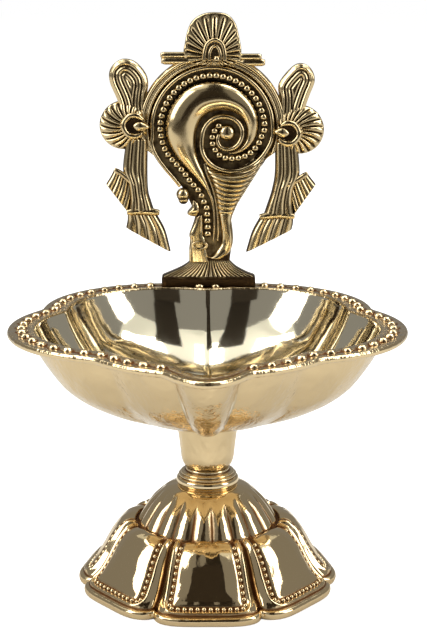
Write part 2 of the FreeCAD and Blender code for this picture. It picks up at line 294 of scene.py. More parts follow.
def foot_surface(columns):
    """Closed surface of the foot. A profile runs from the stud hole over the dome and the
    petals, round the hem and back up inside. Each point moves in at the valleys between
    petals, and out or in along the profile's normal by the relief."""
    dome_run = curve_through([(8.3, FOOT_TOP), (9.6, FOOT_TOP - 0.3), (11.8, 26.3), (15.1, 23.2),
                              (17.5, 19.8),
                              (18.9, 17.5)], 46)
    skirt_run = curve_through([(19.2, 17.0), (20.4, 17.7), (22.0, 17.5), (23.9, 16.3), (26.4, 13.2),
                               (28.7, 9.2),
                               (31.0, 5.9), (33.6, 3.5), (34.5, 2.75)], 84)
    hem_run = curve_through([(34.6, 2.5), (HEM_CORNER - 0.2, 2.15), (HEM_CORNER, 1.2),
                             (HEM_CORNER - 0.3, 0.3),
                             (HEM_CORNER - 1.0, 0.0)], 12)
    inner_run = curve_through([(33.2, 0.0), (32.2, 1.2), (29.5, 4.4), (26.0, 9.4), (23.0, 13.4), (18.5, 15.6),
                               (15.6, 18.6), (12.6, 22.8), (9.0, 24.6), (7.0, 25.0)], 22)
    profile = np.vstack([[(STUD_HOLE, FOOT_TOP)], dome_run, skirt_run, hem_run, inner_run,
                         [(STUD_HOLE, 25.0)]])
    radius, height = profile.T[:, :, None]
    parts = np.concatenate([[0], np.full(46, 1), np.full(84, 2), np.full(12, 3), np.full(22, 4), [4]])[:,
                                                                                                       None]
    angle = np.arange(columns)[None, :] * ROUND / columns
    turn = angle / PETAL_TURN
    across = np.abs(2 * (turn - np.round(turn)))
    out = ease(19.0, 33.0, radius) * (parts >= 2)
    valley = VALLEY_DEPTH * (across**8) * out
    dip = MIDDLE_DIP * (1 - np.clip(across / 0.65, 0, 1) ** 2) ** 2 * out**2
    base = radius - valley - dip
    # Distance outside the U of beads, in millimetres: down its sides and round its two corners.
    step = np.linalg.norm(np.diff(profile, axis=0), axis=1)
    down = np.r_[0, np.cumsum(step)][:, None]
    hem_line = down[46 + 84, 0]
    above_hem = hem_line - down
    aside = across * 0.5 * PETAL_TURN * radius
    half_width = BEAD_ROW_SIDE * 0.5 * PETAL_TURN * radius
    corner = 1.6
    qx = aside - half_width + corner
    qy = BEAD_ROW_UP - above_hem + corner
    outside = np.hypot(np.maximum(qx, 0), np.maximum(qy, 0)) + np.minimum(np.maximum(qx, qy), 0) - corner
    on_skirt = (parts == 2) * ease(0.0, 1.2, down - down[47, 0])
    border_room = half_width / BEAD_ROW_SIDE * (1 - BEAD_ROW_SIDE)
    ridge_at = np.minimum(1.55, border_room * 0.55)
    relief = 0.55 * hump(outside - ridge_at, 0.55) - 0.50 * hump(outside, 0.62) - 0.15 * (outside > 0)
    relief = relief + 0.45 * ease(-0.6, -5.0, outside)
    valley_cut = hump((1 - across) * 0.5 * PETAL_TURN * radius, 0.55)
    relief = relief - 0.9 * valley_cut
    hem_groove = hump(above_hem - 0.2, 0.5)
    relief = on_skirt * relief - 0.45 * hem_groove * (parts == 2)
    flute = np.abs(np.sin(0.5 * (FLUTES * (angle + FLUTE_LEAN) - math.pi)))
    fade = ease(FOOT_TOP - 0.4, FOOT_TOP - 5.5, height) * (parts == 1)
    relief = relief + fade * FLUTE_DEPTH * (flute**0.75 - 0.85)
    relief = relief - 0.5 * hump(down - down[47, 0], 0.5)
    tangent = np.gradient(profile, axis=0)
    tangent /= np.linalg.norm(tangent, axis=1, keepdims=True)
    normal_r, normal_z = -tangent[:, 1][:, None], tangent[:, 0][:, None]
    normal_r, normal_z = np.where(parts > 3, 0, normal_r), np.where(parts > 3, 0, normal_z)
    r = base + relief * normal_r
    z = height + relief * normal_z
    worn = 1 - 1.1 * on_skirt * hump(outside, 0.75) - 1.0 * valley_cut * on_skirt
    worn = worn - 0.8 * hem_groove * (parts == 2)
    worn = worn - 0.85 * fade * (1 - flute**0.5) - 0.9 * hump(down - down[47, 0], 0.6) - 0.25 * (parts == 4)
    grid = patch(r * np.sin(angle), -r * np.cos(angle), z, worn, loop=True)
    return grid, (angle, r, z, down, hem_line)


def foot_bead_centres(r, z, angle, down, hem_line):
    """Beads at equal steps along the U in each petal: down one side, along the bottom and up
    the other, laid on the casting's own surface."""
    profile_down = down[:, 0]
    rows = slice(50, 46 + 84)
    half_turn = 0.5 * PETAL_TURN
    level = hem_line - np.linspace(18.6, BEAD_ROW_UP, 200)
    side = np.column_stack([np.full(200, BEAD_ROW_SIDE) * half_turn, level])
    sweep = np.linspace(BEAD_ROW_SIDE, -BEAD_ROW_SIDE, 160)[1:-1]
    bottom = np.column_stack([sweep * half_turn, np.full(158, hem_line - BEAD_ROW_UP)])
    path = np.vstack([side, bottom, side[::-1] * (-1, 1)])
    columns = np.mod(path[:, 0] / ROUND * angle.shape[1], angle.shape[1])
    before = np.floor(columns).astype(int) % angle.shape[1]
    line = np.interp(path[:, 1], profile_down[rows], np.arange(profile_down.size)[rows])
    row = np.floor(line).astype(int)
    part = (line - row)
    radius = r[row, before] * (1 - part) + r[row + 1, before] * part
    height = z[row, before] * (1 - part) + z[row + 1, before] * part
    points = np.column_stack([radius * np.sin(path[:, 0]), -radius * np.cos(path[:, 0]), height])
    length = np.r_[0, np.cumsum(np.linalg.norm(np.diff(points, axis=0), axis=1))]
    count = int(length[-1] / FOOT_BEAD_STEP)
    at = np.linspace(0, length[-1], count)
    one = np.column_stack([np.interp(at, length, axis) for axis in points.T])
    turns = np.arange(PETALS) * PETAL_TURN
    x = one[:, 0] * np.cos(turns)[:, None] - one[:, 1] * np.sin(turns)[:, None]
    y = one[:, 0] * np.sin(turns)[:, None] + one[:, 1] * np.cos(turns)[:, None]
    return np.stack([x, y, np.broadcast_to(one[:, 2], x.shape)], -1).reshape(-1, 3)


foot_grid, (foot_angle, foot_r, foot_z, foot_down, foot_hem) = foot_surface(PETALS * 72)
foot_beads = beads(foot_bead_centres(foot_r, foot_z, foot_angle, foot_down, foot_hem), FOOT_BEAD, sides=8,
                   rings=5)
casting("foot_casting", [foot_grid, foot_beads], foot_brass, "foot", "foot_brass", "foot")

# ---------------------------------------------------------------- collar
# A turned brass ring on top of the dome: a broad polished band, a thinner one, and a short
# neck that the bowl stands on. The stud passes through it.
COLLAR_COLUMNS = 128


def turned(profile, columns, worn=1.0):
    """Closed ring turned from a profile of (radius, height) that runs down its outside."""
    radius, height = np.asarray(profile, float).T[:, :, None]
    angle = np.arange(columns)[None, :] * ROUND / columns
    shade = np.broadcast_to(np.asarray(worn, float).reshape(-1, 1), (len(radius), columns))
    return patch(radius * np.sin(angle), -radius * np.cos(angle), height, shade, loop=True)


def rounded_band(radius, low, high, bulge=0.5, count=9):
    """Outside of a turned band from its top to its foot, as a flat ellipse arc."""
    t = np.linspace(0, math.pi, count)
    mid, half = 0.5 * (low + high), 0.5 * (high - low)
    return np.column_stack([radius - bulge + bulge * np.sin(t), mid + half * np.cos(t)])


collar_low, collar_high = (corner[2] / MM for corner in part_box("collar_ring"))
collar_profile = np.vstack([
    [(3.35, collar_high), (5.7, collar_high)],
    rounded_band(5.95, collar_high - 0.75, collar_high, 0.2, 5),
    [(5.75, collar_high - 0.95)],
    rounded_band(7.3, collar_high - 1.5, collar_high - 0.95, 0.3, 7),
    [(7.0, collar_high - 1.6)],
    rounded_band(7.9, collar_high - 2.25, collar_high - 1.6, 0.4, 7),
    [(7.6, collar_high - 2.35), (7.7, collar_high - 2.45)],
    rounded_band(8.5, collar_low + 0.35, collar_high - 2.45, 0.55, 13),
    [(7.95, collar_low + 0.25), (8.05, collar_low), (3.35, collar_low)],
])
collar_worn = np.ones(len(collar_profile))
collar_worn[[7, 15, 23, 24, -3]] = 0.0
collar_brass = brass("collar_brass", PALE_BRASS, BROWN_PATINA, 0.42, 0.06, streak=0.2, along=(0.1, 0.1, 3),
                     bump=0.01)
casting("collar_ring_turned", [turned(collar_profile, COLLAR_COLUMNS, collar_worn)], collar_brass,
        "foot", "collar_brass", "collar_ring")

# ---------------------------------------------------------------- bowl
# One brass casting: a round neck, a five-lobed body that ends in a flat rim, and a wick spout
# at the front with a keel under it. Satin outside, mirror polished inside, beads on the rim.
BOWL_LOW, BOWL_HIGH = (np.array(corner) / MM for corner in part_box("bowl"))
NECK_FOOT = BOWL_LOW[2]
RIM_TOP = BOWL_HIGH[2]
LOBES = 5
LOBE_EDGE = 53.6
NOTCH_EDGE = 47.1
RIM_WIDTH = 7.2
RIM_THICK = 1.8
NECK_TOP = NECK_FOOT + 12.0
SPOUT_REACH = -BOWL_LOW[1] - LOBE_EDGE - 0.1
SPOUT_HALF_ANGLE = 12.5
KEEL_HALF_ANGLE = 10.5
RIM_BEAD = 1.35
RIM_BEAD_STEP = 4.75
RIM_BEAD_INSET = 3.7
STUD_BORE = 3.05               # the blind hole in the neck
NECK_TOP_RADIUS = 8.3


def lobes(angle, sharp=0.4):
    """0 at the notches between two lobes and 1 at the middle of a lobe; one faces the front."""
    wave = np.sin(LOBES * 0.5 * (angle - math.pi / LOBES))
    return np.minimum((wave * wave + 0.012) ** sharp, 1.0)


def nose(angle, half_angle, power):
    """1 straight ahead, falling to 0 at the half angle on either side, in degrees."""
    away = np.abs(np.degrees(np.remainder(angle + math.pi, ROUND) - math.pi)) / half_angle
    return np.clip(1 - away**2, 0, 1) ** power


def rim_edge(angle, inset=0.0):
    """Radius of the rim's outer edge, or of a line inset from it."""
    lobe = NOTCH_EDGE + (LOBE_EDGE - NOTCH_EDGE) * lobes(angle)
    return lobe + SPOUT_REACH * nose(angle, SPOUT_HALF_ANGLE, 1.6) - inset


def rim_bead_centres():
    """Beads at equal steps round the rim, on a line inset from its edge, left out at the spout."""
    angle = np.linspace(0, ROUND, 2881)
    radius = rim_edge(angle, RIM_BEAD_INSET) - SPOUT_REACH * nose(angle, SPOUT_HALF_ANGLE, 1.6)
    x, y = radius * np.sin(angle), -radius * np.cos(angle)
    length = np.r_[0, np.cumsum(np.hypot(np.diff(x), np.diff(y)))]
    free = 11.5
    count = int((length[-1] - 2 * free) / RIM_BEAD_STEP) + 1
    at = np.linspace(free, length[-1] - free, count)
    return np.column_stack([np.interp(at, length, x), np.interp(at, length, y),
                            np.full(count, RIM_TOP - 0.1)])


def bowl_surface(columns):
    """Closed surface of the bowl. The profile runs from the stud's blind hole over the neck,
    up the body, over the rim, down the inside and to the middle of the floor. Every level of
    the body is the neck's circle widened towards the lobed rim, plus the spout's keel."""
    angle = np.arange(columns)[None, :] * ROUND / columns
    share = lobes(angle)
    rows, worn = [], []

    def level(radius, height, shine=1.0):
        rows.append(np.stack([np.broadcast_to(radius, columns), np.full(columns, height)]))
        worn.append(np.broadcast_to(np.asarray(shine, float), (1, columns))[0])

    for radius, height in ((0.0, NECK_FOOT + 9.4), (STUD_BORE, NECK_FOOT + 9.4), (STUD_BORE, NECK_FOOT),
                           (4.8, NECK_FOOT)):
        level(radius, height)
    for radius, height in curve_through([(5.2, NECK_FOOT), (5.9, NECK_FOOT + 0.3), (6.75, NECK_FOOT + 1.6),
                                         (7.2, NECK_FOOT + 3.2), (7.55, NECK_FOOT + 6.5),
                                         (7.95, NECK_FOOT + 9.6),
                                         (NECK_TOP_RADIUS, NECK_TOP)], 26):
        level(radius, height)
    under = RIM_TOP - RIM_THICK
    lobe_out = LOBE_EDGE - RIM_WIDTH + 1.4
    notch_out = NOTCH_EDGE - RIM_WIDTH + 1.4
    body = curve_through([(0.0, 0.0), (0.09, 0.055), (0.28, 0.13), (0.41, 0.185), (0.53, 0.25), (0.67, 0.36),
                          (0.78, 0.49), (0.86, 0.64), (0.93, 0.80), (1.0, 1.0)], 44)
    keel_reach = np.interp(body[:, 1], [0, 0.03, 0.08, 0.16, 0.30, 0.55, 0.8, 1.0],
                           [0.0, 1.2, 2.3, 3.4, 4.6, 5.9, 7.0, 7.6])
    keel_angle = np.interp(body[:, 1], [0, 0.05, 0.2, 0.4, 0.7, 1.0], [9.0, 6.0, 6.0, 6.8, 8.6,
                                                                       KEEL_HALF_ANGLE])
    flat = np.clip((body[:, 0] - 0.1) / 0.5, 0, 1)
    for (out, up), reach, half, lobed in zip(body[1:], keel_reach[1:], keel_angle[1:], flat[1:]):
        wave = 1 - (1 - share) * lobed
        radius = NECK_TOP_RADIUS + (notch_out - NECK_TOP_RADIUS + (lobe_out - notch_out) * wave) * out
        radius = radius + reach * nose(angle, half, 0.75)[0]
        level(radius[0], NECK_TOP + (under - NECK_TOP) * up)
    edge = rim_edge(angle)[0]
    wide = edge - (rows[-1][0])
    for t in (0.12, 0.5, 0.86):
        level(rows[-1][0] * 0 + (edge - wide * (1 - t)), under)
    for t in np.linspace(-0.5 * math.pi, 0.5 * math.pi, 9):
        level(edge - 0.7 + 0.7 * math.cos(t), under + RIM_THICK * (0.5 + 0.5 * math.sin(t)))
    for inset in (1.0, 1.6, 2.1, 2.5, 2.9, 3.3, 3.7, 4.1, 4.5, 4.9, 5.3, 6.0, 6.6):
        groove = hump(inset - RIM_BEAD_INSET, 0.9)
        level(edge - inset, RIM_TOP - 0.30 * groove, 1 - 0.75 * groove)
    lip = np.linspace(0, 0.5 * math.pi, 6)
    for t in lip[1:]:
        level(edge - RIM_WIDTH + 0.5 - 0.5 * math.sin(t), RIM_TOP - 0.6 * (1 - math.cos(t)))
    inner_top = rows[-1][0]
    first_inside = (len(rows) - 1) * columns
    floor = NECK_TOP + 3.6
    inside = curve_through([(1.0, 1.0), (0.965, 0.86), (0.90, 0.66), (0.82, 0.48), (0.70, 0.31), (0.56, 0.17),
                            (0.38, 0.06), (0.2, 0.015), (0.03, 0.0)], 56)
    trough = np.interp(inside[:, 1], [0, 0.05, 0.2, 1.0], [0.0, 1.2, 2.4, 0.0])
    for (out, up), reach in zip(inside[1:], trough[1:]):
        even = np.mean(inner_top) * 0.97
        mixed = even + (inner_top - even) * (0.65 + 0.35 * out)
        level(mixed * out + reach * nose(angle, 12.0, 0.8)[0], floor + (RIM_TOP - 0.6 - floor) * up)
    level(0.0, floor)
    radius = np.array([row[0] for row in rows])
    height = np.array([row[1] for row in rows])
    x, y, worn = radius * np.sin(angle), -radius * np.cos(angle), np.array(worn)
    centres = rim_bead_centres()
    near = np.hypot(x[..., None] - centres[:, 0], y[..., None] - centres[:, 1]).min(-1)
    worn = worn - 0.9 * hump(near - 1.5, 0.45) * (height > RIM_TOP - 0.5)
    return patch(x, y, height, worn, turn_over=True), first_inside


bowl_brass = brass("bowl_brass", (0.76, 0.59, 0.34), (0.16, 0.065, 0.02), 0.52, 0.11, streak=0.55,
                   along=(1, 1, 0.3),
                   bump=0.45)
bowl_mirror = brass("bowl_mirror", (0.90, 0.82, 0.62), (0.12, 0.045, 0.025), 0.34, 0.07, streak=0.3,
                    along=(1, 0.2, 1),
                    bump=0.02)
bowl_grid, first_inside = bowl_surface(480)
casting("bowl_casting", [bowl_grid, beads(rim_bead_centres(), RIM_BEAD, 0.72, sides=16, rings=9)],
        bowl_brass, "bowl", "bowl_brass", "bowl", inner=(bowl_mirror, first_inside))

# ---------------------------------------------------------------- conch plate
# One brass relief casting with an antique finish, held on the rear rim by two screws: a plinth
# with a fan, the conch in its beaded disc, a crest, and a blossom with a ribbon and a tassel on
# each side. Its back is flat. Coordinates are x and height; a rise stands forward of the face.
PLATE_LOW, PLATE_HIGH = (np.array(corner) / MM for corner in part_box("conch_plate"))
PLATE_BACK = PLATE_HIGH[1] - 0.4
PLATE_FACE = PLATE_BACK - 2.5
SUNK = 1.7                     # raised work ends this far in front of the back, inside the plate
BACK_WORN = 0.75
DISC = np.array([1.4, 119.1])
DISC_RADIUS = 21.2
BEAD_RING = 15.0
PLATE_BEAD = 1.06
PLATE_BEADS = 58
plate_brass = brass("plate_brass", (0.64, 0.50, 0.28), (0.045, 0.027, 0.014), 0.60, 0.15, streak=0.2,
                    along=(1, 1, 1), scale=260.0, bump=0.03)


def coin(centre, outline, shape, rows=30, columns=120, back=0.0):
    """Flat-backed relief inside a closed outline. Rows run from the centre to the edge and
    columns run round it; shape gives rise and wear from the share of the way out, the share of
    the way round, x and height. back is how far its back lies in front of the plate's."""
    edge = curve_through(outline, columns, closed=True)
    out = np.linspace(0, 1, rows)[:, None] ** 0.8
    x = centre[0] + (edge[:, 0] - centre[0]) * out
    z = centre[1] + (edge[:, 1] - centre[1]) * out
    rise, worn = np.broadcast_arrays(*shape(out, np.arange(columns)[None, :] / columns, x, z), x)[:2]
    y = np.vstack([PLATE_FACE - rise, np.full((2, columns), PLATE_BACK - back)])
    return patch(np.vstack([x, x[-1:], x[:1]]), y, np.vstack([z, z[-1:], z[:1]]),
                 np.vstack([worn, np.full((2, columns), BACK_WORN)]))


def capped(x, y, z, worn):
    """A tube of rings, closed by drawing its first and last ring in to their middles."""
    def ends(grid):
        return np.vstack([np.full((1, grid.shape[1]), grid[0].mean()), grid,
                          np.full((1, grid.shape[1]), grid[-1].mean())])
    x, y, z, worn = (ends(grid) for grid in np.broadcast_arrays(x, y, z, worn))
    return patch(x, y, z, worn)


def strip(left, right, shape, rows=60, columns=26, even=True, back=0.0):
    """Flat-backed relief between two edge curves, with rise and wear given by shape from the
    share along, the share across, x and height. back is how far its back lies in front of the
    plate's."""
    a, b = curve_through(left, rows, even=even), curve_through(right, rows, even=even)
    across = 0.5 - 0.5 * np.cos(np.linspace(0, math.pi, columns))[None, :]
    x = a[:, :1] * (1 - across) + b[:, :1] * across
    z = a[:, 1:] * (1 - across) + b[:, 1:] * across
    rise, worn = np.broadcast_arrays(*shape(np.linspace(0, 1, rows)[:, None], across, x, z), x)[:2]
    y = np.hstack([PLATE_FACE - rise, np.full((rows, 2), PLATE_BACK - back)])
    return capped(np.hstack([x, x[:, -1:], x[:, :1]]), y, np.hstack([z, z[:, -1:], z[:, :1]]),
                  np.hstack([worn, np.full((rows, 2), BACK_WORN)]))


def ridge(path, radius, lift, rows=80, sides=14, worn=1.0, even=True):
    """Round ridge along a path, its middle lifted off the face. Radius and lift may be listed
    at equal steps along it."""
    line = curve_through(path, rows, even=even)
    run = np.gradient(line, axis=0)
    run /= np.linalg.norm(run, axis=1, keepdims=True)
    share = np.linspace(0, 1, rows)
    size = np.interp(share, np.linspace(0, 1, np.size(radius)), np.atleast_1d(radius))[:, None]
    high = np.interp(share, np.linspace(0, 1, np.size(lift)), np.atleast_1d(lift))[:, None]
    turn = np.arange(sides)[None, :] * ROUND / sides
    side = size * np.cos(turn)
    return capped(line[:, :1] - run[:, 1:] * side, PLATE_FACE - high - size * np.sin(turn),
                  line[:, 1:] + run[:, :1] * side, worn)


def pads(across):
    """Rounded shoulders at both edges of a strip, 0 at the edge and 1 inside."""
    return (1 - np.abs(2 * across - 1) ** 2.4) ** 0.5


def pleats(count, deep, base, swell=0.6, lean=0.0):
    """Round pleats running along a strip, with dark lines between them."""
    def shape(along, across, x, z):
        fold = np.abs(np.sin(math.pi * count * (across + lean * along)))
        return base + swell * pads(across) + deep * fold**0.7, 0.12 + 1.1 * fold**0.8 * pads(across) ** 0.4
    return shape


def fluted(count, ring_out, rise, deep, twist=0.0, rim=0.92):
    """Dome with flutes that fan out from an inner ring and end under a smooth edge."""
    def shape(out, round_, x, z):
        flute = np.abs(np.sin(math.pi * (count * round_ + twist * out)))
        live = ease(ring_out, ring_out + 0.08, out) * ease(1.02, rim, out)
        dome = rise * np.sqrt(np.clip(1.02 - out**3, 0, 1))
        worn = 1 - live * (1 - flute**0.6) * 1.15 - 0.5 * (out < ring_out)
        return dome - deep * live * (1 - flute**0.7), worn
    return shape


def circle(centre, radius, count=40, start=0.0, stop=360.0):
    """Points on an arc of a circle, from one bearing to another, in degrees from +X."""
    bearing = np.radians(np.linspace(start, stop, count, endpoint=stop - start != 360.0))
    return np.column_stack([centre[0] + radius * np.cos(bearing), centre[1] + radius * np.sin(bearing)])


def disc_shape(out, round_, x, z):
    """Sunk floor for the conch with two broad raised bands round the edge, worn on their crests."""
    reach = np.hypot(x - DISC[0], z - DISC[1])
    inner = hump(reach - 18.75, 0.55)
    outer = hump(reach - 20.4, 0.85)
    return 0.35 + 1.2 * inner + 1.3 * outer, 0.42 + 0.9 * np.maximum(inner, outer)


disc_bearing = np.radians(np.arange(72) * 5.0)
disc_edge = 17.9 + (DISC_RADIUS - 17.9) * ease(-0.52, -0.16, np.sin(disc_bearing))
disc_outline = DISC + disc_edge[:, None] * np.column_stack([np.cos(disc_bearing), np.sin(disc_bearing)])
disc = coin(DISC, disc_outline, disc_shape, rows=72, columns=216)

tail_left = [(-16.4, 114.0), (-14.8, 111.2), (-12.5, 108.0), (-10.0, 105.0), (-7.7, 102.5), (-6.0, 99.5),
             (-4.6, 96.5), (-3.6, 93.5), (-5.0, 88.6), (-5.1, 86.5), (-5.4, 83.0), (-5.4, 79.6)]
tail_right = [(17.8, 112.5), (16.5, 110.0), (15.0, 107.4), (12.6, 103.5), (10.5, 99.9), (8.7, 97.0),
              (7.4, 94.4), (6.9, 92.7), (7.3, 89.8), (7.5, 86.5), (6.9, 83.5), (6.4, 79.6)]
tail = strip(tail_left, tail_right, lambda along, across, x, z: (0.5 * pads(across), 0.36), rows=90,
             even=False,
             back=0.08)
casting("plate_disc", [disc, tail], plate_brass, "bowl", "plate_brass", "conch_plate")

# The conch: a long swelling whorl that starts as a thin lip at the foot, sweeps round the disc
# and curls into the coil, and the ribbed cone with its smooth pipe below.
whorl_outer = [(1.3, 86.0), (1.5, 90.9), (1.45, 94.0), (0.9, 97.6), (-0.7, 101.2), (-3.3, 104.3),
               (-6.3, 107.6),
               (-9.2, 110.9), (-11.4, 114.8), (-12.35, 119.1), (-11.5, 124.0), (-8.5, 128.6), (-4.0, 131.8),
               (1.4, 132.85), (6.8, 131.8), (11.2, 128.8), (14.0, 124.6), (14.8, 120.2), (13.9, 116.2),
               (11.6, 113.2), (8.8, 111.8), (6.4, 111.6)]
whorl_inner = [(2.0, 86.2), (2.4, 90.5), (2.35, 94.2), (2.0, 98.0), (0.7, 102.0), (-0.7, 106.0),
               (-1.9, 109.0),
               (-2.8, 112.0), (-3.2, 115.0), (-2.9, 118.3), (-1.9, 121.0), (-0.3, 122.8), (1.9, 123.8),
               (4.5, 124.1), (7.2, 123.6), (9.3, 122.3), (10.7, 120.2), (11.1, 118.0), (10.8, 115.9),
               (9.6, 114.0), (7.9, 112.8), (6.2, 112.3)]


def whorl_shape(along, across, x, z):
    """Round swell whose height follows the width of the band."""
    width = np.hypot(x[:, :1] - x[:, -1:], z[:, :1] - z[:, -1:])
    swell = (1 - np.abs(2 * across - 1) ** 2.0) ** 0.5
    from_edge = np.minimum(across, 1 - across) * width
    return 0.35 + (0.65 + 0.33 * width) * swell, 1.0 - 0.9 * hump(from_edge, 0.18)


def cone_shape(along, across, x, z):
    """Half-round cone with sagging ribs that get closer towards its foot."""
    sag = 0.10 * (1 - (2 * across - 1) ** 2) * (1 - along)
    rib = np.abs(np.sin(math.pi * 12 * np.maximum(along - sag, 0) ** 0.85))
    width = np.hypot(x[:, :1] - x[:, -1:], z[:, :1] - z[:, -1:])
    swell = (1 - np.abs(2 * across - 1) ** 2.0) ** 0.5 * ease(9.4, 12.4, np.hypot(x - 6.2, z - 116.9))
    return 0.3 + (0.2 + 0.30 * width) * swell * (0.84 + 0.16 * rib**0.6), 0.1 + 1.1 * rib**0.8


cone_left = [(-0.6, 110.4), (-0.4, 107.2), (0.9, 104.3), (1.9, 101.0), (2.65, 97.4), (3.2, 94.0)]
cone_right = [(17.6, 112.6), (15.2, 107.6), (12.7, 103.5), (10.5, 99.9), (8.7, 97.0), (7.4, 94.0)]
pipe_left = [(3.25, 94.2), (3.7, 91.3), (4.1, 87.6), (3.7, 85.2), (2.4, 83.4), (0.9, 82.0), (-0.2, 81.7)]
pipe_right = [(7.4, 94.2), (6.95, 92.0), (7.3, 88.8), (7.4, 85.6), (6.4, 82.8), (3.8, 80.9), (0.6, 81.0)]


def pipe_shape(along, across, x, z):
    """Smooth half-round pipe."""
    swell = (1 - np.abs(2 * across - 1) ** 2.0) ** 0.5
    return 0.3 + (1.5 + 0.9 * ease(0.6, 0.85, along)) * swell * (0.3 + 0.7 * ease(1.05, 0.85, along)), 1.0


border = np.vstack([
    [(-7.9, 102.3), (-10.0, 104.9), (-12.5, 107.9), (-14.7, 111.1), (-16.0, 114.4)],
    circle(DISC, 17.3, 19, 187, 0)[:-1],
    [(18.6, 116.9), (17.0, 112.9), (14.1, 109.4), (10.2, 107.3), (5.9, 106.8), (2.3, 107.9), (-0.3, 110.2),
     (-1.6, 113.1), (-1.6, 116.7), (-0.6, 119.8), (1.9, 122.0), (5.2, 122.5), (8.3, 121.3), (9.9, 118.8),
     (9.6, 116.0), (8.1, 113.9), (5.9, 113.1), (3.8, 113.8), (2.9, 115.6), (3.2, 117.4)],
])
canal = [(-0.9, 108.9), (-0.2, 106.3), (1.2, 102.8), (2.2, 99.4), (2.75, 96.0), (3.0, 92.8), (3.1, 89.0),
         (2.9, 86.2)]
bead_row = np.vstack([
    [(0.1, 88.4), (0.1, 90.9), (-0.1, 93.3), (-0.2, 95.8), (-1.2, 98.1), (-2.2, 100.5), (-3.9, 102.5),
     (-5.3, 104.2),
     (-6.8, 106.3), (-8.4, 108.1), (-10.2, 110.0), (-11.8, 112.2), (-12.8, 114.4), (-13.4, 117.0)],
    circle(DISC, BEAD_RING, 15, 180, 0),
    [(15.5, 116.7), (14.5, 114.4), (12.6, 112.2), (10.5, 110.9), (8.2, 110.4), (5.9, 110.4), (3.6, 111.2),
     (2.0, 113.2), (1.3, 115.5), (1.7, 117.9), (3.2, 119.8)],
])
bead_line = curve_through(bead_row, PLATE_BEADS)
bead_centres = np.column_stack([bead_line[:, 0], np.full(PLATE_BEADS, PLATE_FACE - 1.05), bead_line[:, 1]])
whorl = strip(whorl_outer, whorl_inner, whorl_shape, rows=260, columns=40, even=False, back=SUNK)
cone = strip(cone_left, cone_right, cone_shape, rows=220, columns=44, even=False, back=SUNK)
pipe = strip(pipe_left, pipe_right, pipe_shape, rows=70, columns=26, even=False, back=SUNK)
eye = coin((5.5, 117.6), circle((5.6, 117.9), 2.5, 24),
           lambda out, round_, x, z: (0.4 + 2.3 * np.sqrt(np.clip(1 - out**2, 0, 1)), 1.0), rows=14,
           columns=40,
           back=SUNK)
casting("conch_shell", [
    whorl, cone, pipe, eye,
    ridge(border, [0.55, 0.6, 0.6, 0.6, 0.6, 0.6, 0.7, 0.7, 0.65, 0.5], [0.9, 1.0, 1.1, 1.1, 1.1, 1.6, 1.9,
                                                                         1.8, 1.6],
          rows=300, even=False),
    ridge(canal, [0.25, 0.3, 0.3, 0.25], [1.3, 1.1, 0.9, 0.8], rows=70),
], plate_brass, "bowl", "plate_brass")
casting("conch_beads", [beads(bead_centres, PLATE_BEAD, sides=14, rings=9)], plate_brass, "bowl",
        "plate_brass")

# Left side of the conch's foot: a ball where the border ends, a thorn, and a cup in a pilaster;
# then the fan and the plinth that stands on the rim.
ball_centre = [(-7.1, PLATE_FACE - 1.2, 100.0)]
thorn = coin((-3.6, 95.6), [(-5.9, 94.4), (-4.6, 96.2), (-4.2, 98.4), (-2.6, 97.4), (-2.2, 95.2),
                            (-3.2, 93.7), (-4.6, 93.5)],
             lambda out, round_, x, z: (0.6 + 1.3 * np.sqrt(np.clip(1.01 - out**2, 0, 1)), 0.9), rows=14,
             columns=48,
             back=0.3)
pilaster = strip([(-3.2, 93.4), (-4.2, 90.8), (-5.3, 88.2), (-5.1, 86.4), (-5.4, 83.4), (-5.3, 80.0)],
                 [(-1.3, 94.0), (-1.2, 91.0), (-1.1, 88.6), (-0.5, 86.4), (-0.2, 83.6), (0.6, 80.0)],
                 lambda along, across, x, z: (0.5 + 1.1 * pads(across), 0.9), rows=50, back=0.5)
cup = np.array([(-2.3, 85.0)]) + np.column_stack([2.1 * np.cos(np.linspace(0, ROUND, 25)),
                                                  1.05 * np.sin(np.linspace(0, ROUND, 25))])
cup_hole = coin((-2.3, 85.0), cup[:-1], lambda out, round_, x, z: (1.75 - 0.4 * (1 - out**2), 0.0), rows=8,
                columns=40,
                back=SUNK)


def fan_shape(along, across, x, z):
    """Ribs that spread from under the pipe to the plinth, with a curved front."""
    rib = np.abs(np.sin(math.pi * 20 * across))
    front = 0.9 + 0.9 * along**1.6 + 0.25 * np.sin(math.pi * across)
    live = ease(0.06, 0.3, along) * ease(1.0, 0.9, along)
    return front - 0.6 * live * (1 - rib**0.7), 0.1 + 0.8 * rib**2 * live


fan_left = [(-4.6, 81.4), (-5.2, 80.0), (-7.4, 78.4), (-10.4, 77.0), (-13.1, 75.8), (-13.2, 75.2)]
fan_right = [(6.0, 81.4), (6.5, 80.2), (8.4, 78.4), (11.2, 76.8), (13.7, 75.8), (13.8, 75.2)]
fan = strip(fan_left, fan_right, fan_shape, rows=60, columns=240, even=False)
plinth_low = PLATE_LOW[2]
plinth_front = PLATE_BACK + 0.4 - 4.55


